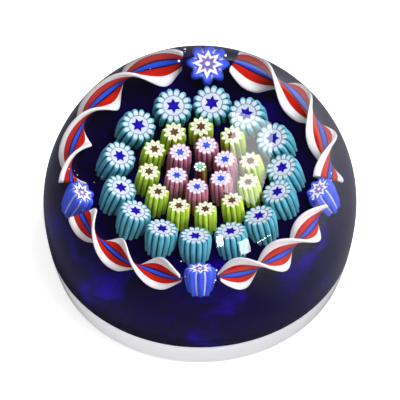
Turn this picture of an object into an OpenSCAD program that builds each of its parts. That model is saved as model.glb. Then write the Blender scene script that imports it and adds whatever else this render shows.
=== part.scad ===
// Solid glass paperweight with a ringed pattern of cut canes under a clear magnifying dome.
// Millimetres, +Z up. The origin is the centre of the foot, on the table.

/* [Glass body] */
// Widest diameter of the glass
glass_d = 75; // [62:1:100]
// Height of the widest point above the table
girdle_h = 16; // [14:0.5:24]
// How far the side wall draws in from the widest point down to the foot
wall_draw = 1.7; // [0.5:0.1:4]
// Bevel round the edge of the foot
foot_bevel = 0.6; // [0.2:0.1:1.5]
// Diameter of the polished hollow in the underside
hollow_d = 46; // [20:1:54]
// Depth of the hollow at its middle
hollow_depth = 0.8; // [0.2:0.1:2]

/* [Cobalt ground] */
// Thickness of the clear base below the ground
base_t = 8.5; // [5:0.5:12]
// Thickness of the ground where it meets the side wall
ground_edge_t = 3.5; // [1:0.5:6]
// How much higher the ground is in the middle than at the wall
ground_crown = 8.5; // [3:0.5:9]
// How deep the feet of the canes are sunk in the ground
seat_depth = 1.2; // [0.8:0.1:2]

/* [Centre cane] */
// Diameter over the threads of the centre cane
centre_d = 2.3; // [1.6:0.1:3.2]
// Height of its cut face above the ground
centre_stand = 5.1; // [4:0.1:10]
// Number of threads round the centre cane
centre_threads = 8; // [6:1:12]

/* [Pink ring] */
// Number of pink canes
pink_count = 6; // [4:1:8]
// Diameter of a pink cane over its ribs
pink_d = 3.8; // [2.4:0.1:4.4]
// Height of the cut faces above the ground
pink_stand = 5.4; // [4:0.1:10]
// Lean of the canes, feet outwards
pink_lean = 2; // [0:1:10]
// Gap between neighbours at the cut face
pink_gap = 0.7; // [0.6:0.1:2]

/* [Green ring] */
// Number of green canes
green_count = 11; // [8:1:12]
// Diameter of a green cane over its ribs
green_d = 3.9; // [3:0.1:4.8]
// Height of the cut faces above the ground
green_stand = 4.7; // [4:0.1:9]
// Lean of the canes, feet outwards
green_lean = 4; // [0:1:12]
// Gap between neighbours at the cut face
green_gap = 1.06; // [0.8:0.02:2]

/* [Turquoise ring] */
// Number of turquoise canes
turquoise_count = 14; // [10:1:16]
// Diameter of a turquoise cane over its ribs
turquoise_d = 5.6; // [4:0.1:6.8]
// Height of the cut faces above the ground
turquoise_stand = 4.1; // [3:0.1:8]
// Lean of the canes, feet outwards
turquoise_lean = 12; // [0:1:16]
// Gap between neighbours at the cut face
turquoise_gap = 0.68; // [0.4:0.02:2]

/* [Blue florets] */
// Number of blue florets, with a ribbon between each pair
floret_count = 4; // [3:1:5]
// Diameter of a floret over its petals
floret_d = 5.4; // [4:0.1:6.6]
// Height of the cut faces above the ground
floret_stand = 4.1; // [3:0.1:8]
// Lean of the florets, feet outwards
floret_lean = 18; // [0:1:24]

/* [Twisted ribbons] */
// Width of the flat ribbon
ribbon_w = 6.6; // [3:0.1:7.2]
// Thickness of the ribbon along its middle
ribbon_t = 0.5; // [0.3:0.1:0.8]
// Thickness of the white edges of the ribbon
ribbon_edge_t = 1; // [0.8:0.1:1.4]
// Width of each white edge
ribbon_edge_w = 1.0; // [0.6:0.1:1.2]
// Clear glass round the ribbon in its rod
rod_cover = 0.3; // [0.2:0.1:0.8]
// How deep the rods are sunk in the ground
rod_seat = 0.9; // [0.3:0.1:1.5]
// Half turns in each ribbon, in steps of a quarter
ribbon_half_turns = [3.25, 3.5, 2.75, 3];
// Clear glass left over each end of the ribbon, inside the rod
ribbon_end_skin = 0.3; // [0.2:0.1:1]
// Gap between a floret and the cut end of a rod
rod_end_gap = 0.5; // [0.3:0.1:2]

/* [Spacing] */
// Least gap between the feet of one ring and the cut faces of the next
ring_gap = 0.14; // [0.1:0.02:1]
// Gap between the feet of the turquoise ring and the cut faces of the florets
floret_gap = 0.6; // [0.3:0.1:2]
// How much further out than the florets the middle of the ribbon rods lies
garland_out = 1.3; // [0.5:0.1:2.5]
// Least gap between the feet of the turquoise ring and the ribbon rods
rod_gap = 0.3; // [0.3:0.1:2]

/* [Hidden] */
// The canes are set by hand, so each ring has a starting bearing and small turns off even spacing.
pink_start = 81;
pink_nudge = [-5, -2, 5, 2, 3, -2, 0, 0];
green_start = 83;
green_nudge = [6, 3, 2, 1, -1, -2, -3, -2, -2, -5, 3, 0];
turquoise_start = 85.5;
turquoise_nudge = [-3, -4, -2, 1, 3, 1, 1, 1, 2, 2, 2, -2, -2, -1, 0, 0];
floret_start = 90;
floret_nudge = [-3, 7, 0, -5, 0];
// Each cane is turned this much further about itself than the one before it
cane_turn = 47;
// Bearing of the ribbon's width at the start of each rod, from flat
ribbon_start = [10, 90, 2, 140, 90];
// Share of the ribbon's thickness that is left beside its white edges
ribbon_waist = 0.8;

// Ribs round each kind of cane, and how far neighbouring ribs run into each other
pink_ribs = 12;
green_ribs = 10;
turquoise_ribs = 14;
floret_ribs = 8;
rib_overlap = 1.25;

// Share of a cane's diameter taken by the white collar and by the star rod inside it
pink_collar = 0.56;
pink_star = 0.46;
green_collar = 0.60;
green_star = 0.48;
turquoise_collar = 0.58;
turquoise_star = 0.45;
star_waist = 0.55;
// The same for a floret: its white star, the lilac core inside the star and the white dot in the middle
floret_star = 0.86;
floret_core = 0.52;
floret_dot = 0.13;
floret_waist = 0.55;
pink_points = 6;
green_points = 6;
turquoise_points = 6;

glass_r = glass_d / 2;
wall_r = (girdle_h * girdle_h + wall_draw * wall_draw) / (2 * wall_draw);
foot_r = glass_r - wall_draw;
hollow_r = (hollow_d * hollow_d / 4 + hollow_depth * hollow_depth) / (2 * hollow_depth);
crown_r = (glass_r * glass_r + ground_crown * ground_crown) / (2 * ground_crown);
crown_top = base_t + ground_edge_t + ground_crown;

// Height of the top of the ground at a radius
function ground_z(r) = crown_top - crown_r + sqrt(crown_r * crown_r - r * r);

// Length of a cane that stands on the ground and is sunk in it
function cane_len(stand, lean) = (stand + seat_depth) / cos(lean);

// Outermost radius that the foot of a leaning cane reaches
function foot_reach(ring, stand, lean, d) = ring + cane_len(stand, lean) * sin(lean) + d / 2;

// Smallest ring that leaves the gap between neighbours and clears the ring inside it
function ring_for(count, d, gap, inner) = max((d + gap) / (2 * sin(180 / count)), inner + ring_gap + d / 2);

pink_ring = ring_for(pink_count, pink_d, pink_gap, centre_d / 2);
pink_reach = foot_reach(pink_ring, pink_stand, pink_lean, pink_d);
green_ring = ring_for(green_count, green_d, green_gap, pink_reach);
green_reach = foot_reach(green_ring, green_stand, green_lean, green_d);
turquoise_ring = ring_for(turquoise_count, turquoise_d, turquoise_gap, green_reach);
turquoise_reach = foot_reach(turquoise_ring, turquoise_stand, turquoise_lean, turquoise_d);
rod_d = 2 * (norm([ribbon_w, ribbon_edge_t]) / 2 + rod_cover);
floret_ring = turquoise_reach + floret_gap + floret_d / 2;
rod_ring = max(floret_ring + garland_out, turquoise_reach + rod_gap + rod_d / 2);
rod_z = ground_z(rod_ring) + rod_d / 2 - rod_seat;

// Half the bearing that a floret and the gaps beside it take up on the ring
floret_half_angle = asin((floret_d / 2 + rod_end_gap) / floret_ring);

function bearing(start, nudge, count, i) = start + i * 360 / count + nudge[i];
function floret_bearing(i) = i < 0
    ? bearing(floret_start, floret_nudge, floret_count, i + floret_count) - 360
    : bearing(floret_start, floret_nudge, floret_count, i);
function rod_from(i) = floret_bearing(i - 1) + floret_half_angle;
function rod_to(i) = floret_bearing(i) - floret_half_angle;
// Bearing that the clear skin over a ribbon's end takes up
skin_angle = asin(ribbon_end_skin / rod_ring);
function ribbon_from(i) = rod_from(i) + skin_angle;
function ribbon_to(i) = rod_to(i) - skin_angle;
function half_turns(i) = ribbon_half_turns[i % len(ribbon_half_turns)];
function names(word, count) = [for (i = [1 : count]) str(word, i)];

$fn = 96;
ribbon_steps_per_half_turn = 12;
deep = 2 * (glass_d + girdle_h);

// ---- outlines ----

// Half section of the whole weight: a round dome on a side wall that draws in to the foot
module glass_outline() {
    intersection() {
        translate([0, girdle_h]) circle(r = glass_r);
        translate([0, girdle_h]) square(glass_r);
    }
    intersection() {
        translate([glass_r - wall_r, girdle_h]) circle(r = wall_r);
        polygon([
            [0, 0],
            [foot_r - foot_bevel, 0],
            [glass_r + foot_bevel, wall_draw + 2 * foot_bevel],
            [glass_r + foot_bevel, girdle_h],
            [0, girdle_h]
        ]);
    }
}

// Half section of everything below the crowned top of the ground
module below_crown() {
    translate([0, crown_top - crown_r]) circle(r = crown_r);
}

// Ribbed outline of a cane
module ribbed_outline(d, ribs) {
    k = rib_overlap * sin(180 / ribs);
    rib_r = d / 2 * k / (1 + k);
    circle(r = d / 2 - rib_r);
    for (i = [0 : ribs - 1])
        rotate(i * 360 / ribs)
            translate([d / 2 - rib_r, 0])
                circle(r = rib_r);
}

// Star outline of the rod in the middle of a cane
module star_outline(d, points, waist = star_waist) {
    polygon([
        for (i = [0 : 2 * points - 1])
            let (r = i % 2 == 0 ? d / 2 : d / 2 * waist)
            [r * cos(i * 180 / points), r * sin(i * 180 / points)]
    ]);
}

// ---- placing ----

// Puts a piece that hangs down from its cut face at its place in a ring, turned about itself
module in_ring(ring, angle, lean, stand, turn) {
    rotate([0, 0, angle])
        translate([ring, 0, ground_z(ring) + stand])
            rotate([0, -lean, 0])
                rotate([0, 0, turn])
                    children();
}

// A straight length of an outline, down from its cut face
module drawn(length) {
    translate([0, 0, -length])
        linear_extrude(height = length)
            children();
}

module at_pink(i) {
    angle = bearing(pink_start, pink_nudge, pink_count, i);
    in_ring(pink_ring, angle, pink_lean, pink_stand, i * cane_turn) children();
}

module at_green(i) {
    angle = bearing(green_start, green_nudge, green_count, i);
    in_ring(green_ring, angle, green_lean, green_stand, i * cane_turn) children();
}

module at_turquoise(i) {
    angle = bearing(turquoise_start, turquoise_nudge, turquoise_count, i);
    in_ring(turquoise_ring, angle, turquoise_lean, turquoise_stand, i * cane_turn) children();
}

module at_floret(i) {
    in_ring(floret_ring, floret_bearing(i), floret_lean, floret_stand, i * cane_turn) children();
}

// ---- whole canes, as the glass around them is cut for them ----

module centre_blank() {
    in_ring(0, 0, 0, centre_stand, 0)
        drawn(cane_len(centre_stand, 0))
            ribbed_outline(centre_d, centre_threads);
}

module pink_blank(i) {
    at_pink(i) drawn(cane_len(pink_stand, pink_lean)) ribbed_outline(pink_d, pink_ribs);
}

module green_blank(i) {
    at_green(i) drawn(cane_len(green_stand, green_lean)) ribbed_outline(green_d, green_ribs);
}

module turquoise_blank(i) {
    at_turquoise(i)
        drawn(cane_len(turquoise_stand, turquoise_lean))
            ribbed_outline(turquoise_d, turquoise_ribs);
}

module floret_blank(i) {
    at_floret(i) drawn(cane_len(floret_stand, floret_lean)) ribbed_outline(floret_d, floret_ribs);
}

// A length of rod from one bearing to another
module rod_between(from, to) {
    rotate([0, 0, from])
        rotate_extrude(angle = to - from)
            translate([rod_ring, rod_z])
                circle(d = rod_d);
}

module rod_blank(i) {
    rod_between(rod_from(i), rod_to(i));
}

module all_blanks() {
    centre_blank();
    for (i = [0 : pink_count - 1]) pink_blank(i);
    for (i = [0 : green_count - 1]) green_blank(i);
    for (i = [0 : turquoise_count - 1]) turquoise_blank(i);
    for (i = [0 : floret_count - 1]) floret_blank(i);
    for (i = [0 : floret_count - 1]) rod_blank(i);
}

// ---- glass body ----

module clear_dome() {
    color("white", 0.25)
        difference() {
            rotate_extrude()
                difference() {
                    glass_outline();
                    below_crown();
                }
            all_blanks();
        }
}

module cobalt_ground() {
    color("midnightblue")
        difference() {
            rotate_extrude()
                intersection() {
                    glass_outline();
                    below_crown();
                    translate([0, base_t]) square(deep);
                }
            all_blanks();
        }
}

module clear_base() {
    color("white", 0.25)
        rotate_extrude()
            difference() {
                intersection() {
                    glass_outline();
                    square([deep, base_t]);
                }
                translate([0, hollow_depth - hollow_r]) circle(r = hollow_r);
            }
}

// ---- canes ----

// A cane's ribbed jacket, open down the middle for its collar
module jacket(d, ribs, collar, length) {
    drawn(length)
        difference() {
            ribbed_outline(d, ribs);
            circle(d = d * collar);
        }
}

// The white tube between jacket and star
module collar_tube(d, collar, star, points, length) {
    drawn(length)
        difference() {
            circle(d = d * collar);
            star_outline(d * star, points);
        }
}

module star_rod(d, star, points, length) {
    drawn(length) star_outline(d * star, points);
}

module centre_cane() {
    color("seagreen") centre_blank();
}

module pink_cane(i) {
    color("palevioletred")
        at_pink(i) jacket(pink_d, pink_ribs, pink_collar, cane_len(pink_stand, pink_lean));
}

module pink_collars() {
    color("white")
        for (i = [0 : pink_count - 1])
            at_pink(i)
                collar_tube(pink_d, pink_collar, pink_star, pink_points, cane_len(pink_stand, pink_lean));
}

module pink_stars() {
    color("royalblue")
        for (i = [0 : pink_count - 1])
            at_pink(i) star_rod(pink_d, pink_star, pink_points, cane_len(pink_stand, pink_lean));
}

module green_cane(i) {
    color("yellowgreen")
        at_green(i) jacket(green_d, green_ribs, green_collar, cane_len(green_stand, green_lean));
}

module green_collars() {
    color("white")
        for (i = [0 : green_count - 1])
            at_green(i)
                collar_tube(green_d, green_collar, green_star, green_points, cane_len(green_stand, green_lean));
}

module green_stars() {
    color("saddlebrown")
        for (i = [0 : green_count - 1])
            at_green(i) star_rod(green_d, green_star, green_points, cane_len(green_stand, green_lean));
}

module turquoise_cane(i) {
    color("mediumturquoise")
        at_turquoise(i)
            jacket(turquoise_d, turquoise_ribs, turquoise_collar, cane_len(turquoise_stand, turquoise_lean));
}

module turquoise_collars() {
    length = cane_len(turquoise_stand, turquoise_lean);
    color("white")
        for (i = [0 : turquoise_count - 1])
            at_turquoise(i)
                collar_tube(turquoise_d, turquoise_collar, turquoise_star, turquoise_points, length);
}

module turquoise_stars() {
    length = cane_len(turquoise_stand, turquoise_lean);
    color("darkblue")
        for (i = [0 : turquoise_count - 1])
            at_turquoise(i) star_rod(turquoise_d, turquoise_star, turquoise_points, length);
}

// A star outline across a floret, with one point down the middle of each petal
module floret_outline(share) {
    star_outline(floret_d * share, floret_ribs, floret_waist);
}

// A straight length of an outline, down a floret
module down_floret(i) {
    at_floret(i) drawn(cane_len(floret_stand, floret_lean)) children();
}

module blue_floret(i) {
    color("royalblue")
        down_floret(i)
            difference() {
                ribbed_outline(floret_d, floret_ribs);
                floret_outline(floret_star);
            }
}

module floret_cores() {
    color("mediumpurple")
        for (i = [0 : floret_count - 1])
            down_floret(i)
                difference() {
                    floret_outline(floret_core);
                    circle(d = floret_d * floret_dot);
                }
}

module floret_stars() {
    color("white")
        for (i = [0 : floret_count - 1]) {
            down_floret(i)
                difference() {
                    floret_outline(floret_star);
                    floret_outline(floret_core);
                }
            down_floret(i) circle(d = floret_d * floret_dot);
        }
}

// ---- twisted ribbons ----

// One corner of the ribbon's section: along its width, through its thickness, at a bearing and a twist
function ribbon_point(across, through, angle, twist) =
    let (out = across * cos(twist) + through * sin(twist))
    let (rise = through * cos(twist) - across * sin(twist))
    [(rod_ring + out) * cos(angle), (rod_ring + out) * sin(angle), rod_z + rise];

// The ribbon's section: a little crowned along the middle, thin beside its two thick white edges
ribbon_waist_t = ribbon_t * ribbon_waist;
ribbon_half_section = [
    [-ribbon_w / 2, -ribbon_edge_t / 2],
    [-ribbon_w / 2 + ribbon_edge_w, -ribbon_waist_t / 2],
    [0, -ribbon_t / 2],
    [ribbon_w / 2 - ribbon_edge_w, -ribbon_waist_t / 2],
    [ribbon_w / 2, -ribbon_edge_t / 2]
];
ribbon_section = concat(ribbon_half_section, -ribbon_half_section);

module ribbon_strip(i) {
    steps = half_turns(i) * ribbon_steps_per_half_turn;
    sides = len(ribbon_section);
    points = [
        for (s = [0 : steps])
            let (angle = rod_from(i) + s / steps * (rod_to(i) - rod_from(i)))
            let (twist = ribbon_start[i] + s / steps * half_turns(i) * 180)
            for (p = ribbon_section)
                ribbon_point(p[0], p[1], angle, twist)
    ];
    skin = [
        for (s = [0 : steps - 1], k = [0 : sides - 1])
            let (a = s * sides + k)
            let (b = s * sides + (k + 1) % sides)
            each [[a, b, b + sides], [a, b + sides, a + sides]]
    ];
    first_end = [for (k = [sides - 1 : -1 : 0]) k];
    last_end = [for (k = [0 : sides - 1]) steps * sides + k];
    polyhedron(points = points, faces = concat(skin, [first_end, last_end]));
}

// The ribbon inside its rod, short of the rod's ends
module ribbon_inside(i) {
    intersection() {
        rod_between(ribbon_from(i), ribbon_to(i));
        ribbon_strip(i);
    }
}

module ribbon_twist(i) {
    color("crimson") ribbon_inside(i);
}

module ribbon_rod(i) {
    color("white", 0.3)
        difference() {
            rod_blank(i);
            ribbon_inside(i);
        }
}

clear_dome();
cobalt_ground();
clear_base();
centre_cane();
for (i = [0 : pink_count - 1])
    pink_cane(i);
for (i = [0 : green_count - 1])
    green_cane(i);
for (i = [0 : turquoise_count - 1])
    turquoise_cane(i);
for (i = [0 : floret_count - 1])
    blue_floret(i);
pink_collars();
pink_stars();
green_collars();
green_stars();
turquoise_collars();
turquoise_stars();
floret_cores();
floret_stars();
for (i = [0 : floret_count - 1])
    ribbon_rod(i);
for (i = [0 : floret_count - 1])
    ribbon_twist(i);
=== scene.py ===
"""A glass paperweight: rings of cut flower canes and a garland of twisted ribbons.

They stand on a cobalt ground, inside one clear body of glass."""
import math

import bpy
import numpy as np
from mathutils import Matrix, Vector, noise


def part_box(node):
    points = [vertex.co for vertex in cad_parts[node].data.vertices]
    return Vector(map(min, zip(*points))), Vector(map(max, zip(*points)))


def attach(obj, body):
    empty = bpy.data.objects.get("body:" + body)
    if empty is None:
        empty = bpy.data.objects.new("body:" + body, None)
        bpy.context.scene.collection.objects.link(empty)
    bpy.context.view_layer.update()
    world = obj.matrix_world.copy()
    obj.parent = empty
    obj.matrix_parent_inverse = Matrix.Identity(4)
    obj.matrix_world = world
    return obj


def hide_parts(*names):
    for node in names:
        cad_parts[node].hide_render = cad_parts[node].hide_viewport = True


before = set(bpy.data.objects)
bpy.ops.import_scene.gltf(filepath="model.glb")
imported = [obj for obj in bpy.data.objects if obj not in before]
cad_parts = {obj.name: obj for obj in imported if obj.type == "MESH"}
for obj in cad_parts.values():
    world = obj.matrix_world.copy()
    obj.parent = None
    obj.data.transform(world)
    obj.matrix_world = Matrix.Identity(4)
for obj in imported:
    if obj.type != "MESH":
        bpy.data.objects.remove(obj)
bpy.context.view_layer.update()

MM = 0.001
TAU = 2 * math.pi


# ---- reading the frame ----

def points_of(node):
    """The corners of a CAD node's mesh, each once, in metres."""
    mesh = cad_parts[node].data
    flat = np.zeros(len(mesh.vertices) * 3, np.float32)
    mesh.vertices.foreach_get("co", flat)
    return np.unique(np.round(flat.astype(float).reshape(-1, 3), 7), axis=0)


def numbered(word):
    """The nodes called word_1, word_2 and so on, in order."""
    found = [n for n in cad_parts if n.rpartition("_")[0] == word]
    return sorted(found, key=lambda n: int(n.rpartition("_")[2]))


# The glass body: a hemisphere on a wall that draws in to the foot, with a shallow hollow below
WALL_DRAW = 1.7 * MM
FOOT_BEVEL = 0.6 * MM
HOLLOW_RADIUS = 23 * MM
HOLLOW_DEPTH = 0.8 * MM
GLASS_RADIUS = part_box("clear_dome")[1].x
GLASS_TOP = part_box("clear_dome")[1].z
GIRDLE = GLASS_TOP - GLASS_RADIUS
WALL_RADIUS = (GIRDLE**2 + WALL_DRAW**2) / (2 * WALL_DRAW)
FOOT_RADIUS = GLASS_RADIUS - WALL_DRAW - FOOT_BEVEL

# The cobalt ground: flat below, crowned above
GROUND_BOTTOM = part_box("cobalt_ground")[0].z
GROUND_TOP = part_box("cobalt_ground")[1].z
ground_points = points_of("cobalt_ground")
ground_reach = np.hypot(ground_points[:, 0], ground_points[:, 1])
GROUND_BORDER = ground_points[ground_reach > 0.98 * ground_reach.max(), 2].max()
CROWN = GROUND_TOP - GROUND_BORDER
CROWN_RADIUS = (ground_reach.max()**2 + CROWN**2) / (2 * CROWN)


def wall(z):
    """Radius of the side wall at a height below the girdle."""
    return GLASS_RADIUS - WALL_RADIUS + math.sqrt(WALL_RADIUS**2 - (GIRDLE - z)**2)


def ground_height(radius):
    """Height of the crowned top of the ground at a radius."""
    return GROUND_TOP - CROWN_RADIUS + math.sqrt(CROWN_RADIUS**2 - radius**2)


# ---- nodes, colours and pieces ----

def linear(code):
    """An sRGB hex colour as linear light."""
    parts = [int(code[i:i + 2], 16) / 255 for i in (1, 3, 5)]
    return [c / 12.92 if c <= 0.04045 else ((c + 0.055) / 1.055)**2.4 for c in parts] + [1.0]


def add(tree, kind, *sources, named=None, out=0, **settings):
    """Adds a node with its settings, feeds its inputs by order or name, and returns one output."""
    node = tree.nodes.new(kind)
    for name, value in settings.items():
        setattr(node, name, value)
    inputs = [s for s in node.inputs if s.enabled]
    fed = list(zip(inputs, sources))
    for name, source in (named or {}).items():
        fed.append((next(s for s in inputs if s.name == name), source))
    for socket, source in fed:
        if isinstance(source, bpy.types.NodeSocket):
            tree.links.new(source, socket)
        elif source is not None:
            socket.default_value = source
    outputs = [s for s in node.outputs if s.enabled]
    if isinstance(out, str):
        return next(s for s in outputs if s.name == out)
    return outputs[out] if outputs else node


def new_finish(name, **values):
    """A material with one Principled shader: (material, its tree, the shader)."""
    material = bpy.data.materials.new(name)
    material.use_nodes = True
    tree = material.node_tree
    shader = tree.nodes["Principled BSDF"]
    for socket, value in values.items():
        shader.inputs[socket.replace("_", " ")].default_value = value
    return material, tree, shader


def piece(name, mesh, slot, *nodes):
    """Puts a finished mesh in the scene in place of CAD nodes; slot is not used."""
    thing = bpy.data.objects.new(name, mesh)
    bpy.context.scene.collection.objects.link(thing)
    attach(thing, "root")
    if nodes:
        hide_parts(*nodes)


def new_growth(name, **defaults):
    """A geometry tree with named number inputs and a material: (tree, its input sockets)."""
    tree = bpy.data.node_groups.new(name, "GeometryNodeTree")
    tree.interface.new_socket("Geometry", in_out="OUTPUT", socket_type="NodeSocketGeometry")
    for word, value in defaults.items():
        kind = "NodeSocketInt" if isinstance(value, int) else "NodeSocketFloat"
        socket = tree.interface.new_socket(word.replace("_", " "), in_out="INPUT", socket_type=kind)
        socket.default_value = value
    tree.interface.new_socket("Finish", in_out="INPUT", socket_type="NodeSocketMaterial")
    entry = tree.nodes.new("NodeGroupInput")
    return tree, {s.name: s for s in entry.outputs if s.name}


def end_growth(tree, geometry, finish):
    """Closes a geometry tree: real meshes, smooth, in their finish."""
    real = add(tree, "GeometryNodeRealizeInstances", geometry)
    smooth = add(tree, "GeometryNodeSetShadeSmooth", real)
    dressed = add(tree, "GeometryNodeSetMaterial", smooth, named={"Material": finish})
    exit_node = tree.nodes.new("NodeGroupOutput")
    tree.links.new(dressed, exit_node.inputs[0])


def dress(mesh, finish):
    """Gives the whole of a mesh one finish."""
    mesh.materials.clear()
    mesh.materials.append(finish)
    mesh.polygons.foreach_set("material_index", [0] * len(mesh.polygons))


def grown(tree, **sizes):
    """The plain mesh that a geometry tree makes from these sizes."""
    holder = bpy.data.objects.new("holder", bpy.data.meshes.new("holder"))
    bpy.context.scene.collection.objects.link(holder)
    modifier = holder.modifiers.new("growth", "NODES")
    modifier.node_group = tree
    for item in tree.interface.items_tree:
        word = item.name.replace(" ", "_")
        if item.in_out == "INPUT" and word in sizes:
            modifier[item.identifier] = sizes[word]
    graph = bpy.context.evaluated_depsgraph_get()
    mesh = bpy.data.meshes.new_from_object(holder.evaluated_get(graph), depsgraph=graph)
    dress(mesh, sizes["Finish"])
    bpy.data.objects.remove(holder)
    return mesh


# ---- finishes ----

# How often each pattern repeats in a metre, with the size that gives
SWELL_SCALE = 110.0         # the fire polish: 9 mm from crest to crest
WHEEL_RING_SCALE = 100.0    # rings of the grinding wheel: 3 mm apart
GRIT_SCALE = 1400.0         # marks of the grit: 0.7 mm, coarser than real, so that they show
COBALT_CLOUD_SCALE = 85.0   # clouds in the cobalt: 12 mm
DRAWN_LINE_SCALE = 2200.0   # lines drawn down a cane: 0.45 mm apart
ENAMEL_CLOUD_SCALE = 900.0  # clouds in enamel: 1.1 mm
WAVER_SCALE = 260.0         # the ribbon's bands waver over 4 mm
RIBBON_LINE_SCALE = 3000.0  # lines drawn along the ribbon: 0.3 mm apart
SEED_CLOUD_SCALE = 2500.0   # painted mottled reflection on a bubble: 0.4 mm

# Roughness of soft glass cut and cased in crystal, and of dense enamel
CASED_GLASS_ROUGHNESS = 0.4
ENAMEL_ROUGHNESS = 0.45
# How far in from a cane's edge its cut face begins, as a share of the way to the bore
FACE_BEGINS, FACE_FULL = 0.004, 0.02
SOFT = {"interpolation_type": "SMOOTHSTEP"}


def mixed(tree, share, first, second):
    """One colour turning to another by a share; each is a hex code or a socket."""
    codes = [linear(c) if isinstance(c, str) else c for c in (first, second)]
    return add(tree, "ShaderNodeMix", share, *codes, data_type="RGBA")


def ranged(tree, value, low, high, to_low, to_high, **settings):
    """A value carried from one range to another and held at the ends."""
    return add(tree, "ShaderNodeMapRange", value, low, high, to_low, to_high, **settings)


def largest(tree, *values):
    """The largest of several factors."""
    most = values[-1]
    for value in reversed(values[:-1]):
        most = add(tree, "ShaderNodeMath", value, most, operation="MAXIMUM")
    return most


def body_crystal():
    """Lead crystal, fire-polished: clear to the camera, so the eye goes straight to what is in it.

    Lamps shine through it without bending, which lights the canes evenly. A faint long swell in
    the surface keeps the highlights from being ruled straight."""
    material, tree, shader = new_finish(
        "fire_polished_lead_crystal", Base_Color=linear("#ffffff"), Roughness=0.0, IOR=1.5,
        Transmission_Weight=1.0)
    place = add(tree, "ShaderNodeTexCoord", out="Object")
    swell = add(tree, "ShaderNodeTexNoise",
                named={"Vector": place, "Scale": SWELL_SCALE, "Detail": 1.0})
    bump = add(tree, "ShaderNodeBump",
               named={"Strength": 0.05, "Distance": 0.1 * MM, "Height": swell})
    tree.links.new(bump, shader.inputs["Normal"])
    lamp_ray = add(tree, "ShaderNodeLightPath", out="Is Shadow Ray")
    open_glass = add(tree, "ShaderNodeBsdfTransparent", linear("#f4f7f8"))
    glass = add(tree, "ShaderNodeMixShader", lamp_ray, shader.outputs[0], open_glass)
    tree.links.new(glass, tree.nodes["Material Output"].inputs["Surface"])
    return material


def foot_finish():
    """The foot ground flat on a wheel: pale, fine and matt, with the wheel's faint rings.

    Its emission is a painted glow, standing in for the light that matt glass scatters as it comes
    down through the weight."""
    # Painted light: the emission makes the foot glow though it is no lamp
    material, tree, shader = new_finish(
        "wheel_ground_foot", Roughness=0.65, Specular_IOR_Level=0.0,
        Emission_Color=linear("#e0dfe2"), Emission_Strength=0.78)
    place = add(tree, "ShaderNodeTexCoord", out="Object")
    rings = add(tree, "ShaderNodeTexWave", wave_type="RINGS", rings_direction="Z",
                named={"Vector": place, "Scale": WHEEL_RING_SCALE, "Distortion": 1.5,
                       "Detail": 2.0})
    grit = add(tree, "ShaderNodeTexNoise",
               named={"Vector": place, "Scale": GRIT_SCALE, "Detail": 3.0})
    marks = add(tree, "ShaderNodeMix", 0.5, rings, grit)
    colour = mixed(tree, marks, "#e8e6e8", "#f4f3f5")
    tree.links.new(colour, shader.inputs["Base Color"])
    return material


def cobalt_finish():
    """Cobalt glass, gathered thick: nearly black, with cloudy patches that glow violet."""
    material, tree, shader = new_finish(
        "gathered_cobalt_glass", Roughness=0.3, Specular_IOR_Level=0.0)
    place = add(tree, "ShaderNodeTexCoord", out="Object")
    cloud = add(tree, "ShaderNodeTexNoise",
                named={"Vector": place, "Scale": COBALT_CLOUD_SCALE, "Detail": 4.0,
                       "Roughness": 0.55, "Distortion": 0.6})
    wisp = ranged(tree, cloud, 0.5, 0.78, 0.0, 1.0, **SOFT)
    colour = mixed(tree, wisp, "#080228", "#1a007c")
    tree.links.new(colour, shader.inputs["Base Color"])
    return material


def mark(tree, word):
    """A number that the geometry stored on the mesh."""
    return add(tree, "ShaderNodeAttribute", attribute_name=word, out="Fac")


def streaks(tree, low, high):
    """Fine lines drawn down a cane, as a factor from low to high."""
    grain = add(tree, "ShaderNodeAttribute", attribute_name="grain", out="Vector")
    lines = add(tree, "ShaderNodeTexNoise",
                named={"Vector": grain, "Scale": DRAWN_LINE_SCALE, "Detail": 2.0})
    return ranged(tree, lines, 0.3, 0.7, low, high)


def cane_glass(name, crest, groove, face, line, groove_at=0.55, petal_line=0.82, outer_line=0.10):
    """Soft soda glass drawn in a ribbed mould: a coloured coat over white.

    The sides show coloured ribs that turn to the groove colour in the furrows; where that colour is
    darker, it is painted shade. The cut face shows white petals, with a thin
    line of the coat round each. The furrow mark runs from 0 on a crest to 1 between two ribs, and
    inward from 0 at the edge to 1 at the bore. groove_at and petal_line are places on the first,
    and outer_line is how wide the line at the edge is, on the second."""
    material, tree, shader = new_finish(
        name, Roughness=CASED_GLASS_ROUGHNESS, Specular_IOR_Level=0.0)
    furrow, inward = mark(tree, "furrow"), mark(tree, "inward")
    # The side turns to the groove colour in the furrows; a darker groove colour is painted shade
    dark = ranged(tree, furrow, groove_at, 0.98, 0.0, 1.0, **SOFT)
    side = mixed(tree, dark, crest, groove)
    shade = add(tree, "ShaderNodeHueSaturation",
                named={"Value": streaks(tree, 0.78, 1.18), "Color": side})
    between = ranged(tree, furrow, petal_line, 0.97, 0.0, 1.0, **SOFT)
    rim = ranged(tree, inward, 0.0, outer_line, 1.0, 0.0, **SOFT)
    ring = ranged(tree, inward, 0.80, 0.97, 0.0, 1.0, **SOFT)
    cut = mixed(tree, largest(tree, between, rim, ring), face, line)
    on_face = ranged(tree, inward, FACE_BEGINS, FACE_FULL, 0.0, 1.0)
    tree.links.new(mixed(tree, on_face, shade, cut), shader.inputs["Base Color"])
    return material


def enamel(name, light, dark):
    """Opaque enamel glass inside a cane: dense colour, softly clouded."""
    material, tree, shader = new_finish(name, Roughness=ENAMEL_ROUGHNESS, Specular_IOR_Level=0.0)
    place = add(tree, "ShaderNodeTexCoord", out="Object")
    cloud = add(tree, "ShaderNodeTexNoise",
                named={"Vector": place, "Scale": ENAMEL_CLOUD_SCALE, "Detail": 3.0})
    part = ranged(tree, cloud, 0.35, 0.65, 0.0, 1.0)
    colour = mixed(tree, part, light, dark)
    tree.links.new(colour, shader.inputs["Base Color"])
    return material


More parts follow.
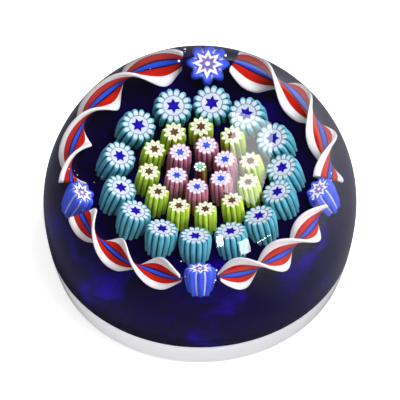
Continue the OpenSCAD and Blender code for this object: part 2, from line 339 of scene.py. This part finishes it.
def banded(tree, value, bands, interpolation="LINEAR"):
    """A colour from a value between 0 and 1, by bands of (place, colour)."""
    node = tree.nodes.new("ShaderNodeValToRGB")
    ramp = node.color_ramp
    ramp.interpolation = interpolation
    while len(ramp.elements) < len(bands):
        ramp.elements.new(1.0)
    for stop, (place, code) in zip(ramp.elements, bands):
        stop.position = place
        stop.color = linear(code)
    tree.links.new(value, node.inputs[0])
    return node.outputs[0]


def thread_glass():
    """Eight single threads fused round a green one.

    Each has its own colour down the side, with painted shade darkening it in the furrows,
    and a pale dot of enamel where it is cut."""
    material, tree, shader = new_finish(
        "fused_glass_threads", Roughness=CASED_GLASS_ROUGHNESS, Specular_IOR_Level=0.0)
    number, furrow, inward = (mark(tree, word) for word in ("rib_number", "furrow", "inward"))
    sides, dots = (banded(tree, number, [(i / len(row), c) for i, c in enumerate(row)], "CONSTANT")
                   for row in (THREAD_SIDES, THREAD_DOTS))
    # Painted shade: the sides darken towards near black in the furrows between the threads
    dark = ranged(tree, furrow, 0.6, 1.0, 0.0, 0.75, **SOFT)
    side = mixed(tree, dark, sides, "#0c0a20")
    off_dot = ranged(tree, furrow, 0.62, 0.75, 0.0, 1.0)
    ring = ranged(tree, inward, 0.48, 0.56, 0.0, 1.0)
    rim = ranged(tree, inward, 0.06, 0.10, 1.0, 0.0)
    middle = ranged(tree, inward, 0.62, 0.70, 0.0, 1.0)
    ground = mixed(tree, middle, "#1c5c50", "#58b890")
    cut = mixed(tree, largest(tree, off_dot, rim, ring), dots, ground)
    on_face = ranged(tree, inward, FACE_BEGINS, FACE_FULL, 0.0, 1.0)
    tree.links.new(mixed(tree, on_face, side, cut), shader.inputs["Base Color"])
    return material


def ribbon_glass():
    """Enamel ribbon cased in clear: a blue middle between two dark lines, red beside them and thick
    white edges. The bands waver a little and fine drawn lines run along them."""
    material, tree, shader = new_finish(
        "enamel_ribbon", Roughness=CASED_GLASS_ROUGHNESS, Specular_IOR_Level=0.0)
    place = ranged(tree, mark(tree, "across"), -1.0, 1.0, 0.0, 1.0)
    wander = add(tree, "ShaderNodeAttribute", attribute_name="grain", out="Vector")
    waver = add(tree, "ShaderNodeTexNoise",
                named={"Vector": wander, "Scale": WAVER_SCALE, "Detail": 1.0})
    shift = ranged(tree, waver, 0.0, 1.0, -BAND_WAVER, BAND_WAVER)
    stripes = banded(tree, add(tree, "ShaderNodeMath", place, shift, operation="ADD"), RIBBON_BANDS)
    drawn = add(tree, "ShaderNodeTexNoise",
                named={"Vector": wander, "Scale": RIBBON_LINE_SCALE, "Detail": 1.0})
    value = ranged(tree, drawn, 0.3, 0.7, 0.88, 1.06)
    colour = add(tree, "ShaderNodeHueSaturation", named={"Value": value, "Color": stripes})
    tree.links.new(colour, shader.inputs["Base Color"])
    return material


def bubble_air():
    """Air seeds in the glass as bright beads: painted reflection and a painted glow, for the light
    each throws back.
    """
    # Painted light: a near-white colour and a faint emission stand in for the light a seed throws
    # back
    material, tree, shader = new_finish(
        "air_seed", Roughness=0.25, Specular_IOR_Level=0.6, Emission_Color=linear("#ffffff"),
        Emission_Strength=0.12)
    place = add(tree, "ShaderNodeTexCoord", out="Object")
    cloud = add(tree, "ShaderNodeTexNoise", named={"Vector": place, "Scale": SEED_CLOUD_SCALE})
    # Painted reflection: the bead's near-white colour, mottled
    colour = mixed(tree, cloud, "#c8ccda", "#ffffff")
    tree.links.new(colour, shader.inputs["Base Color"])
    return material


# Side colours of the centre cane's threads, and the dots on their cut ends, going round
THREAD_SIDES = [
    "#60702a", "#70906a", "#303a50", "#5a5a90", "#201058", "#5a3a60", "#58201c", "#b08038"]
THREAD_DOTS = [
    "#f2ead0", "#e8f0ee", "#ffffff", "#f6d8e4", "#f4f4ff", "#f0d0d8", "#fff4e4", "#f0e4b0"]
# Bands across the ribbon, from edge to edge, and how far they waver, as shares of its width
BAND_WAVER = 0.025
WHITE, RED, BLUE, BLACK = "#dcd6d8", "#a8180e", "#2642bc", "#140a20"
RIBBON_BANDS = [
    (0.0, WHITE), (0.215, WHITE), (0.225, RED), (0.392, RED), (0.400, BLACK), (0.440, BLACK),
    (0.448, BLUE), (0.555, BLUE), (0.562, BLACK), (0.590, BLACK), (0.598, RED), (0.775, RED),
    (0.785, WHITE), (1.0, WHITE)]


# ---- ribbed canes ----

# Rows of the grid down a cane's side and across its face, and steps round each rib
ROWS_DOWN, ROWS_FACE = 22, 8
STEPS_PER_RIB = 8
# How much of its length the grain of drawn glass keeps down a cane and along a ribbon: the less,
# the longer its lines
GRAIN_DOWN_CANE = 0.12
GRAIN_ALONG_RIBBON = 0.06
MERGE_DISTANCE = 1e-6


def cane_growth():
    """A ribbed length of cane that hangs from its cut face at the origin, swollen, with a bore.

    A flat grid is rolled up: across it is the bearing, and up it goes the side, the cut face, the
    bore and the foot, so the piece is closed all round."""
    tree, size = new_growth(
        "ribbed cane", Radius=2.5 * MM, Length=7.0 * MM, Ribs=12, Furrow_depth=0.12, Pointed=0.0,
        Swell=0.1, Splay=0.0, Edge=0.08 * MM, Bore=1.4 * MM, Bore_waist=1.0)

    def calc(operation, *values, **settings):
        return add(tree, "ShaderNodeMath", *values, operation=operation, **settings)

    rows = ROWS_DOWN + ROWS_FACE + 2
    columns = calc("MULTIPLY_ADD", size["Ribs"], STEPS_PER_RIB, 1.0)
    grid = add(tree, "GeometryNodeMeshGrid", 1.0, 1.0, columns, rows + 1)
    place = add(tree, "ShaderNodeSeparateXYZ", add(tree, "GeometryNodeInputPosition"), out="X").node
    turn = calc("ADD", place.outputs["X"], 0.5)
    row = calc("MULTIPLY_ADD", place.outputs["Y"], float(rows), rows / 2)
    side = calc("DIVIDE", row, float(ROWS_DOWN), use_clamp=True)
    face = calc("DIVIDE", calc("SUBTRACT", row, float(ROWS_DOWN)), float(ROWS_FACE), use_clamp=True)
    bore = calc("SUBTRACT", row, float(ROWS_DOWN + ROWS_FACE), use_clamp=True)
    foot = calc("SUBTRACT", row, float(ROWS_DOWN + ROWS_FACE + 1), use_clamp=True)

    # Rows crowd together near the cut face, where the edge is rounded
    down = calc("POWER", calc("SUBTRACT", 1.0, side), 2.0)
    share = calc("ADD", down, bore, use_clamp=True)
    depth = calc("MULTIPLY", share, size["Length"])
    rib = calc("MULTIPLY", turn, size["Ribs"])
    furrow = calc("MULTIPLY", calc("PINGPONG", rib, 0.5), 2.0)
    lobe = calc("COSINE", calc("MULTIPLY", furrow, math.pi / 2))
    point = calc("SUBTRACT", 1.0, furrow)
    crest = add(tree, "ShaderNodeMix", size["Pointed"], lobe, point)
    cut = calc("MULTIPLY", size["Furrow depth"], calc("SUBTRACT", 1.0, crest))
    outline = calc("MULTIPLY", size["Radius"], calc("SUBTRACT", 1.0, cut))
    swell = calc("SINE", calc("MULTIPLY", calc("POWER", share, 0.6), math.pi))
    taper = calc("MULTIPLY_ADD", share, size["Splay"], 1.0)
    body = calc("MULTIPLY_ADD", swell, size["Swell"], taper)
    near = calc("SUBTRACT", 1.0, calc("DIVIDE", depth, size["Edge"]), use_clamp=True)
    arc = calc("SQRT", calc("SUBTRACT", 1.0, calc("POWER", near, 2.0)))
    inset = calc("MULTIPLY", size["Edge"], calc("SUBTRACT", 1.0, arc))
    outer = calc("SUBTRACT", calc("MULTIPLY", outline, body), inset)

    # The bore is a star with straight sides and its tips under the rib crests
    step = calc("DIVIDE", math.pi, size["Ribs"])
    bearing = calc("MULTIPLY", furrow, step)
    waist = calc("MULTIPLY", size["Bore"], size["Bore waist"])
    left = calc("MULTIPLY", size["Bore"], calc("SINE", bearing))
    right = calc("MULTIPLY", waist, calc("SINE", calc("SUBTRACT", step, bearing)))
    top = calc("MULTIPLY", calc("MULTIPLY", size["Bore"], waist), calc("SINE", step))
    inner = calc("DIVIDE", top, calc("ADD", calc("ADD", left, right), 1e-9))

    inward = calc("MULTIPLY", calc("POWER", face, 2.0), calc("SUBTRACT", 1.0, foot))
    radius = add(tree, "ShaderNodeMix", inward, outer, inner)
    angle = calc("MULTIPLY", turn, TAU)
    x = calc("MULTIPLY", radius, calc("COSINE", angle))
    y = calc("MULTIPLY", radius, calc("SINE", angle))
    spot = add(tree, "ShaderNodeCombineXYZ", x, y, calc("MULTIPLY", depth, -1.0))

    number = calc("DIVIDE", calc("FLOOR", calc("ADD", rib, 0.5)), size["Ribs"])
    grain = add(tree, "ShaderNodeCombineXYZ", x, y, calc("MULTIPLY", depth, GRAIN_DOWN_CANE))
    shape = grid
    marks = {"furrow": furrow, "inward": inward, "rib_number": calc("FRACT", number)}
    for word, value in marks.items():
        shape = add(tree, "GeometryNodeStoreNamedAttribute", data_type="FLOAT",
                    named={"Geometry": shape, "Name": word, "Value": value})
    shape = add(tree, "GeometryNodeStoreNamedAttribute", data_type="FLOAT_VECTOR",
                named={"Geometry": shape, "Name": "grain", "Value": grain})
    shape = add(tree, "GeometryNodeSetPosition", named={"Geometry": shape, "Position": spot})
    shape = add(tree, "GeometryNodeMergeByDistance",
                named={"Geometry": shape, "Distance": MERGE_DISTANCE})
    end_growth(tree, shape, size["Finish"])
    return tree


# Canes are set by hand: each is turned this much further about itself than the one before it
CANE_TURN = math.radians(47)


def cane_stand(node, number):
    """From a CAD cane's two ends: the place and turn of its cut face, its length and its radius."""
    points = points_of(node)
    middle = (points[:, 2].min() + points[:, 2].max()) / 2
    cut = points[points[:, 2] > middle]
    foot = points[points[:, 2] < middle].mean(0)
    centre = cut.mean(0)
    axis = Vector(centre - foot)
    up = axis.normalized()
    bearing = math.atan2(centre[1], centre[0]) if np.hypot(*centre[:2]) > 0.1 * MM else 0.0
    outwards = Vector((math.cos(bearing), math.sin(bearing), 0))
    outwards = (outwards - up * outwards.dot(up)).normalized()
    aside = up.cross(outwards)
    stand = Matrix((outwards, aside, up)).transposed().to_4x4()
    stand = stand @ Matrix.Rotation(number * CANE_TURN, 4, "Z")
    stand.translation = Vector(centre)
    radius = np.linalg.norm(cut - centre, axis=1).max()
    return stand, axis.length, radius


def set_canes(tree, nodes, slot, finish, collar, **shape):
    """Grows one cane in place of each CAD cane. Its bore is collar times its radius."""
    for number, node in enumerate(nodes):
        stand, length, radius = cane_stand(node, number)
        mesh = grown(tree, Radius=radius, Length=length, Bore=radius * collar, Finish=finish,
                     **shape)
        mesh.transform(stand)
        piece("drawn_" + node, mesh, slot, node)


canes = cane_growth()
set_canes(canes, ["centre_cane"], "centre_threads_glass", thread_glass(), 0.0,
          Ribs=8, Furrow_depth=0.16, Pointed=0.0, Swell=0.03, Edge=0.05 * MM)
# The dark groove colours of the rose, lime and turquoise canes are painted shade in their furrows;
# the blue florets' groove is paler than their crest
set_canes(canes, numbered("pink_cane"), "rose_glass",
          cane_glass("rose_over_white", "#b8768e", "#6a3446", "#ccc6d6", "#986082",
                     petal_line=0.66, outer_line=0.16), 0.56,
          Ribs=12, Furrow_depth=0.2, Pointed=0.35, Swell=0.08, Edge=0.07 * MM)
set_canes(canes, numbered("green_cane"), "lime_glass",
          cane_glass("lime_over_white", "#b8d44a", "#6c8420", "#ced0bc", "#6c6c38"), 0.60,
          Ribs=10, Furrow_depth=0.3, Pointed=1.0, Swell=0.06, Edge=0.06 * MM)
set_canes(canes, numbered("turquoise_cane"), "turquoise_glass",
          cane_glass("turquoise_over_white", "#5aa4b8", "#0a3c4a", "#b0bbcd", "#3a6a6a",
                     petal_line=0.55, outer_line=0.13), 0.58,
          Ribs=14, Furrow_depth=0.17, Pointed=0.0, Swell=0.12, Splay=-0.1, Edge=0.12 * MM)
set_canes(canes, numbered("blue_floret"), "blue_glass",
          cane_glass("blue_petals", "#3c52d0", "#c8ccf4", "#4a5ee0", "#2c2cb8",
                     groove_at=0.7), 0.86,
          Ribs=8, Furrow_depth=0.32, Pointed=0.1, Swell=0.2, Splay=-0.15, Edge=0.1 * MM,
          Bore_waist=0.55)

CORE_FINISHES = {
    "pink_collars": enamel("bluish_white_enamel", "#c6c8e2", "#b0b2d8"),
    "green_collars": enamel("cream_enamel", "#d0cebc", "#bcbaa6"),
    "turquoise_collars": enamel("white_enamel", "#b8bed0", "#aab0c4"),
    "pink_stars": enamel("sky_blue_enamel", "#3e50c8", "#2c38a8"),
    "green_stars": enamel("umber_enamel", "#5e4024", "#46301a"),
    "turquoise_stars": enamel("indigo_enamel", "#1e129c", "#140c70"),
    "floret_cores": enamel("lilac_enamel", "#8878b8", "#5c4c94"),
    "floret_stars": enamel("star_white_enamel", "#e6e0ec", "#d2cce0"),
}
for node, finish in CORE_FINISHES.items():
    dress(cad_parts[node].data, finish)


# ---- twisted ribbons ----

# The CAD ribbons: the twist in degrees where each starts, its half turns, and the section's sizes
RIBBON_START = [10, 90, 2, 140]
RIBBON_HALF_TURNS = [3.25, 3.5, 2.75, 3]
RIBBON_WIDTH = 6.6 * MM
RIBBON_THICKNESS = 0.5 * MM
RIBBON_EDGE = 1.0 * MM
ROWS_PER_HALF_TURN = 24
STEPS_ROUND_RIBBON = 64
# Where the thick edge begins and is full, as shares of the half width, and how square its edge is
EDGE_THICKENS = (0.55, 0.95)
EDGE_SQUARENESS = 10.0


def ribbon_growth():
    """A flat ribbon that twists round a ring, thicker along its edges and closed at its ends."""
    tree, size = new_growth(
        "twisted ribbon", Ring=22.8 * MM, Height=20 * MM, From=0.0, To=1.0, Start=0.0, Turn=TAU,
        Rows=72, Width=RIBBON_WIDTH, Thickness=RIBBON_THICKNESS, Edge_thickness=RIBBON_EDGE)

    def calc(operation, *values, **settings):
        return add(tree, "ShaderNodeMath", *values, operation=operation, **settings)

    rows = calc("ADD", size["Rows"], 2.0)
    grid = add(tree, "GeometryNodeMeshGrid", 1.0, 1.0, calc("ADD", rows, 1.0),
               STEPS_ROUND_RIBBON + 1)
    place = add(tree, "ShaderNodeSeparateXYZ", add(tree, "GeometryNodeInputPosition"), out="X").node
    row = calc("MULTIPLY", calc("ADD", place.outputs["X"], 0.5), rows)
    left = calc("SUBTRACT", rows, row)
    along = calc("DIVIDE", calc("SUBTRACT", row, 1.0), calc("SUBTRACT", rows, 2.0), use_clamp=True)
    closing = calc("MINIMUM", row, left, use_clamp=True)
    around = calc("MULTIPLY", calc("ADD", place.outputs["Y"], 0.5), TAU)
    across = calc("COSINE", around)
    out = calc("ABSOLUTE", across)
    thick = ranged(tree, out, *EDGE_THICKENS, 0.0, 1.0, **SOFT)
    height = add(tree, "ShaderNodeMix", thick, size["Thickness"], size["Edge thickness"])
    rounding = calc("SQRT", calc("SUBTRACT", 1.0, calc("POWER", out, EDGE_SQUARENESS)))
    half = calc("MULTIPLY", calc("MULTIPLY", height, 0.5), rounding)
    through = calc("MULTIPLY", calc("MULTIPLY", half, calc("SIGN", calc("SINE", around))), closing)
    wide = calc("MULTIPLY", calc("MULTIPLY", calc("MULTIPLY", size["Width"], 0.5), across), closing)
    twist = calc("MULTIPLY_ADD", along, size["Turn"], size["Start"])
    cosine, sine = calc("COSINE", twist), calc("SINE", twist)
    outwards = calc("ADD", calc("MULTIPLY", wide, cosine), calc("MULTIPLY", through, sine))
    rise = calc("SUBTRACT", calc("MULTIPLY", through, cosine), calc("MULTIPLY", wide, sine))
    bearing = add(tree, "ShaderNodeMix", along, size["From"], size["To"])
    reach = calc("ADD", size["Ring"], outwards)
    spot = add(tree, "ShaderNodeCombineXYZ", calc("MULTIPLY", reach, calc("COSINE", bearing)),
               calc("MULTIPLY", reach, calc("SINE", bearing)), calc("ADD", size["Height"], rise))
    grain = add(tree, "ShaderNodeCombineXYZ", calc("MULTIPLY", across, size["Width"]),
                calc("MULTIPLY", calc("MULTIPLY", bearing, size["Ring"]), GRAIN_ALONG_RIBBON), 0.0)
    seen_across = calc("MULTIPLY", across, closing)
    shape = add(tree, "GeometryNodeStoreNamedAttribute", data_type="FLOAT",
                named={"Geometry": grid, "Name": "across", "Value": seen_across})
    shape = add(tree, "GeometryNodeStoreNamedAttribute", data_type="FLOAT_VECTOR",
                named={"Geometry": shape, "Name": "grain", "Value": grain})
    shape = add(tree, "GeometryNodeSetPosition", named={"Geometry": shape, "Position": spot})
    shape = add(tree, "GeometryNodeMergeByDistance",
                named={"Geometry": shape, "Distance": MERGE_DISTANCE})
    end_growth(tree, shape, size["Finish"])
    return tree


def bearings_of(node):
    """The lowest and highest bearing, in radians, that a node on the garland's ring reaches."""
    points = points_of(node)
    bearings = np.arctan2(points[:, 1], points[:, 0])
    middle = math.atan2(*np.flip(points[:, :2].mean(0)))
    spread = (bearings - middle + math.pi) % TAU - math.pi
    return middle + spread.min(), middle + spread.max()


rods = numbered("ribbon_rod")
ROD_LOW, ROD_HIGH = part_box(rods[0])[0].z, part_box(rods[0])[1].z
ROD_HEIGHT = (ROD_LOW + ROD_HIGH) / 2
rod_reach = np.hypot(*points_of(rods[0])[:, :2].T)
GARLAND_RING = (rod_reach.min() + rod_reach.max()) / 2

ribbons = ribbon_growth()
enamel_ribbon = ribbon_glass()
for number, node in enumerate(numbered("ribbon_twist")):
    first, last = bearings_of(node)
    rod_first, rod_last = bearings_of(rods[number])
    turn_per_bearing = RIBBON_HALF_TURNS[number] * math.pi / (rod_last - rod_first)
    start = math.radians(RIBBON_START[number]) + (first - rod_first) * turn_per_bearing
    mesh = grown(
        ribbons, Ring=GARLAND_RING, Height=ROD_HEIGHT, From=first, To=last, Start=start,
        Turn=(last - first) * turn_per_bearing,
        Rows=round(RIBBON_HALF_TURNS[number] * ROWS_PER_HALF_TURN), Width=RIBBON_WIDTH,
        Thickness=RIBBON_THICKNESS, Edge_thickness=RIBBON_EDGE, Finish=enamel_ribbon)
    piece("enamel_" + node, mesh, "ribbon_glass", node)


# ---- the glass body and its ground ----

def turned(name, outline, steps):
    """A closed mesh turned from (radius, height) points; the first and last are on the axis."""
    corners = [(0.0, 0.0, outline[0][1])]
    for radius, height in outline[1:-1]:
        for step in range(steps):
            angle = TAU * step / steps
            corners.append((radius * math.cos(angle), radius * math.sin(angle), height))
    corners.append((0.0, 0.0, outline[-1][1]))
    faces = []
    rings = len(outline) - 2
    for step in range(steps):
        after = (step + 1) % steps
        faces.append((0, 1 + after, 1 + step))
        for ring in range(rings - 1):
            low, high = 1 + ring * steps, 1 + (ring + 1) * steps
            faces.append((low + step, low + after, high + after, high + step))
        last = 1 + (rings - 1) * steps
        faces.append((last + step, last + after, len(corners) - 1))
    mesh = bpy.data.meshes.new(name)
    mesh.from_pydata(corners, [], faces)
    mesh.shade_smooth()
    return mesh


def arc_points(centre, radius, start, end, count):
    """Points along an arc in the half section, from one angle to another."""
    angles = np.linspace(math.radians(start), math.radians(end), count)
    return [(centre[0] + radius * math.cos(a), centre[1] + radius * math.sin(a)) for a in angles]


BODY_STEPS, GROUND_STEPS = 288, 192
SHARP_EDGE = math.radians(30)


def glass_body():
    """The whole outside of the glass: hollow, flat foot ring, bevel, drawn-in wall and dome."""
    hollow_arc = (HOLLOW_RADIUS**2 + HOLLOW_DEPTH**2) / (2 * HOLLOW_DEPTH)
    outline = []
    for radius in np.linspace(0, HOLLOW_RADIUS, 13):
        outline.append((radius, HOLLOW_DEPTH - hollow_arc + math.sqrt(hollow_arc**2 - radius**2)))
    outline += [(radius, 0.0) for radius in np.linspace(HOLLOW_RADIUS, FOOT_RADIUS, 9)[1:]]
    # The 45 degree bevel ends where it meets the wall, found by a few rounds of substitution
    bevel_top = FOOT_BEVEL
    for _ in range(8):
        bevel_top = wall(bevel_top) - FOOT_RADIUS
    outline += [(FOOT_RADIUS + 0.5 * bevel_top, 0.5 * bevel_top)]
    outline += [(wall(z), z) for z in np.linspace(bevel_top, GIRDLE, 25)]
    outline += arc_points((0, GIRDLE), GLASS_RADIUS, 0, 90, 97)[1:-1] + [(0.0, GLASS_TOP)]
    mesh = turned("glass_body", outline, BODY_STEPS)
    mesh.set_sharp_from_angle(angle=SHARP_EDGE)
    mesh.materials.append(body_crystal())
    mesh.materials.append(foot_finish())
    for face in mesh.polygons:
        face.material_index = int(face.center.z < HOLLOW_DEPTH and face.normal.z < -0.9)
    return mesh


# The ground stops just inside the wall. Its dents are up to this deep, fade out near the border
# and are about 7 mm apart.
GROUND_CLEARANCE = 0.05 * MM
GROUND_WAVE = 0.16 * MM
GROUND_WAVE_FADE = 4 * MM
GROUND_WAVE_SCALE = 150


def cobalt_ground():
    """The ground as it was gathered: crowned, with soft dents, just inside the wall all round."""
    outline = [(0.0, GROUND_BOTTOM)]
    border = wall(GROUND_BORDER) - GROUND_CLEARANCE
    bottom_border = wall(GROUND_BOTTOM) - GROUND_CLEARANCE
    outline += [(radius, GROUND_BOTTOM) for radius in np.linspace(6 * MM, bottom_border, 6)]
    sides = np.linspace(GROUND_BOTTOM, GROUND_BORDER, 6)[1:]
    outline += [(wall(z) - GROUND_CLEARANCE, z) for z in sides]
    outline += [(radius, ground_height(radius)) for radius in np.linspace(border, 0, 72)[1:]]
    mesh = turned("cobalt_ground", outline, GROUND_STEPS)
    for corner in mesh.vertices:
        reach = math.hypot(corner.co.x, corner.co.y)
        on_top = corner.co.z > GROUND_BORDER and reach < border
        if on_top:
            fade = min(1.0, (border - reach) / GROUND_WAVE_FADE)
            corner.co.z += GROUND_WAVE * fade * noise.noise(corner.co * GROUND_WAVE_SCALE)
    mesh.materials.append(cobalt_finish())
    return mesh


piece("crystal_body", glass_body(), "clear_crystal", "clear_dome", "clear_base", *rods)
piece("gathered_ground", cobalt_ground(), "cobalt_glass", "cobalt_ground")


# ---- air seeds ----

def seed_growth():
    """Small round bubbles about a point of the garland, at random from a fixed seed."""
    tree, size = new_growth(
        "air seeds", Count=6, Seed=1, Ring=22.8 * MM, Bearing=0.0, Across=2.0 * MM, Along=1.5 * MM,
        Low=18 * MM, High=20 * MM, Smallest=0.1 * MM, Largest=0.3 * MM)

    def calc(operation, *values):
        return add(tree, "ShaderNodeMath", *values, operation=operation)

    def draw(low, high, offset):
        seed = calc("ADD", size["Seed"], float(offset))
        return add(tree, "FunctionNodeRandomValue", data_type="FLOAT",
                   named={"Min": low, "Max": high, "Seed": seed})

    def both_ways(reach):
        return calc("MULTIPLY", reach, -1.0)

    line = add(tree, "GeometryNodeMeshLine", size["Count"])
    reach = calc("ADD", size["Ring"], draw(both_ways(size["Across"]), size["Across"], 10))
    slip = calc("DIVIDE", draw(both_ways(size["Along"]), size["Along"], 20), size["Ring"])
    bearing = calc("ADD", size["Bearing"], slip)
    spot = add(tree, "ShaderNodeCombineXYZ", calc("MULTIPLY", reach, calc("COSINE", bearing)),
               calc("MULTIPLY", reach, calc("SINE", bearing)), draw(size["Low"], size["High"], 30))
    points = add(tree, "GeometryNodeSetPosition", named={"Geometry": line, "Position": spot})
    ball = add(tree, "GeometryNodeMeshIcoSphere", 1.0, 3)
    radius = draw(size["Smallest"], size["Largest"], 40)
    beads = add(tree, "GeometryNodeInstanceOnPoints",
                named={"Points": points, "Instance": ball, "Scale": radius})
    end_growth(tree, beads, size["Finish"])
    return tree


def joined(name, meshes):
    """Several meshes as one, keeping the first one's finish."""
    corners, faces = [], []
    for mesh in meshes:
        start = len(corners)
        corners += [v.co.copy() for v in mesh.vertices]
        faces += [tuple(start + i for i in face.vertices) for face in mesh.polygons]
    whole = bpy.data.meshes.new(name)
    whole.from_pydata(corners, [], faces)
    whole.shade_smooth()
    whole.materials.append(meshes[0].materials[0])
    return whole


seeds = seed_growth()
air = bubble_air()
clusters = []
for number, rod in enumerate(rods):
    for end, bearing in enumerate(bearings_of(rod)):
        clusters.append(grown(
            seeds, Count=3, Seed=11 + 7 * (2 * number + end), Ring=GARLAND_RING, Bearing=bearing,
            Across=1.8 * MM, Along=1.1 * MM, Low=ROD_HEIGHT, High=ROD_HIGH, Smallest=0.06 * MM,
            Largest=0.2 * MM, Finish=air))
clusters.append(grown(
    seeds, Count=16, Seed=5, Ring=18.5 * MM, Bearing=0.0, Across=6.5 * MM, Along=58 * MM,
    Low=ROD_HEIGHT, High=ROD_HIGH, Smallest=0.03 * MM, Largest=0.09 * MM, Finish=air))
piece("air_seeds", joined("air_seeds", clusters), "clear_crystal")


# ---- the studio ----

def aimed(thing, place, target):
    """Puts a lamp or camera at a place, looking at a target."""
    thing.location = place
    thing.rotation_euler = (Vector(target) - Vector(place)).to_track_quat("-Z", "Y").to_euler()


def towards(bearing, height, distance):
    """A place at a bearing and height angle in degrees, a distance from the middle of the glass."""
    a, b = math.radians(bearing), math.radians(height)
    direction = Vector((math.cos(b) * math.cos(a), math.cos(b) * math.sin(a), math.sin(b)))
    return Vector((0, 0, GIRDLE)) + distance * direction


LAMP_DISTANCE = 1.6


def softbox(name, bearing, height, width, depth, watts, mirrored):
    """A flat lamp facing the glass: its place in degrees, its size in metres and its power.

    mirrored says whether the glass shows it."""
    light = bpy.data.lights.new(name, "AREA")
    light.shape = "RECTANGLE"
    light.size, light.size_y = width, depth
    light.energy = watts
    lamp = bpy.data.objects.new(name, light)
    bpy.context.scene.collection.objects.link(lamp)
    aimed(lamp, towards(bearing, height, LAMP_DISTANCE), (0, 0, GIRDLE))
    lamp.visible_glossy = mirrored
    lamp.visible_transmission = mirrored
    lamp.visible_camera = False


# The camera: degrees above the table, distance, how far over the middle it aims, and its lens
CAMERA_HEIGHT = 50.7
CAMERA_DISTANCE = 11 * GLASS_RADIUS
CAMERA_RAISE = 0.47 * MM
CAMERA_LENS = 154.5
SENSOR_WIDTH = 36


def stand_camera():
    """A long lens looking down on the weight from the front."""
    lens = bpy.data.cameras.new("camera")
    lens.lens = CAMERA_LENS
    lens.sensor_width = SENSOR_WIDTH
    lens.clip_start = 10 * MM
    lens.clip_end = 20
    camera = bpy.data.objects.new("camera", lens)
    bpy.context.scene.collection.objects.link(camera)
    place = towards(-90, CAMERA_HEIGHT, CAMERA_DISTANCE)
    tilt = math.radians(CAMERA_HEIGHT)
    target = Vector((0, 0, GIRDLE)) + CAMERA_RAISE * Vector((0, math.sin(tilt), math.cos(tilt)))
    aimed(camera, place, target)
    bpy.context.scene.camera = camera


FLOOR_REACH = 3.0
FLOOR_GLOW = 0.7
# Painted light and shade in the glass's reflections: the floor it mirrors turns from dim to pale
# between these places on its right
MIRRORED_FLOOR_FROM, MIRRORED_FLOOR_TO = 0.03, 0.16


def lay_floor():
    """A matt white sheet, much wider than the view, that glows so the weight hardly shadows it."""
    mesh = bpy.data.meshes.new("floor")
    signs = ((-1, -1), (1, -1), (1, 1), (-1, 1))
    mesh.from_pydata([(x * FLOOR_REACH, y * FLOOR_REACH, 0) for x, y in signs], [], [(0, 1, 2, 3)])
    material, tree, shader = new_finish(
        "matt_paper", Roughness=0.9, Specular_IOR_Level=0.0, Base_Color=linear("#f2f2f2"),
        Emission_Color=linear("#ffffff"), Emission_Strength=FLOOR_GLOW)
    # Painted reflection: reflection rays see a darker floor, dim on the left and paler to the right
    mirrored = add(tree, "ShaderNodeLightPath", out="Is Reflection Ray")
    place = add(tree, "ShaderNodeTexCoord", out="Object")
    across = add(tree, "ShaderNodeSeparateXYZ", place, out="X")
    rightwards = ranged(tree, across, MIRRORED_FLOOR_FROM, MIRRORED_FLOOR_TO, 0.0, 1.0)
    dim = add(tree, "ShaderNodeBsdfDiffuse", mixed(tree, rightwards, "#5e5c62", "#e4e4e6"))
    paper = add(tree, "ShaderNodeMixShader", mirrored, shader.outputs[0], dim)
    tree.links.new(paper, tree.nodes["Material Output"].inputs["Surface"])
    mesh.materials.append(material)
    floor = bpy.data.objects.new("floor", mesh)
    bpy.context.scene.collection.objects.link(floor)


# Strength of the room's light on things, and as the glass mirrors it
ROOM_LIGHT, ROOM_MIRRORED = 0.42, 0.045


def light_room():
    """Even light from all round, white to the camera and low in the glass's own reflections.

    That keeps the cobalt deep."""
    world = bpy.data.worlds.new("room")
    bpy.context.scene.world = world
    world.use_nodes = True
    tree = world.node_tree
    tree.nodes.clear()
    mirrored = add(tree, "ShaderNodeLightPath", out="Is Reflection Ray")
    strength = ranged(tree, mirrored, 0.0, 1.0, ROOM_LIGHT, ROOM_MIRRORED)
    strength = largest(tree, strength, add(tree, "ShaderNodeLightPath", out="Is Camera Ray"))
    backdrop = add(tree, "ShaderNodeBackground", linear("#ffffff"), strength)
    output = tree.nodes.new("ShaderNodeOutputWorld")
    tree.links.new(backdrop, output.inputs["Surface"])


stand_camera()
lay_floor()
light_room()
# Soft fill that the glass doesn't show, then a window and two panes with a sill, which it mirrors
softbox("key", bearing=20, height=55, width=1.0, depth=1.0, watts=8, mirrored=False)
softbox("overhead", bearing=160, height=75, width=1.6, depth=1.6, watts=6, mirrored=False)
softbox("window", bearing=-2, height=56, width=1.9, depth=0.8, watts=30, mirrored=True)
softbox("pane_near", bearing=-75.5, height=22, width=0.13, depth=0.22, watts=1.8, mirrored=True)
softbox("pane_far", bearing=-59, height=13, width=0.2, depth=0.28, watts=3.0, mirrored=True)
softbox("sill", bearing=-45, height=12, width=0.3, depth=0.02, watts=0.5, mirrored=True)
bpy.context.scene.view_settings.view_transform = "Standard"
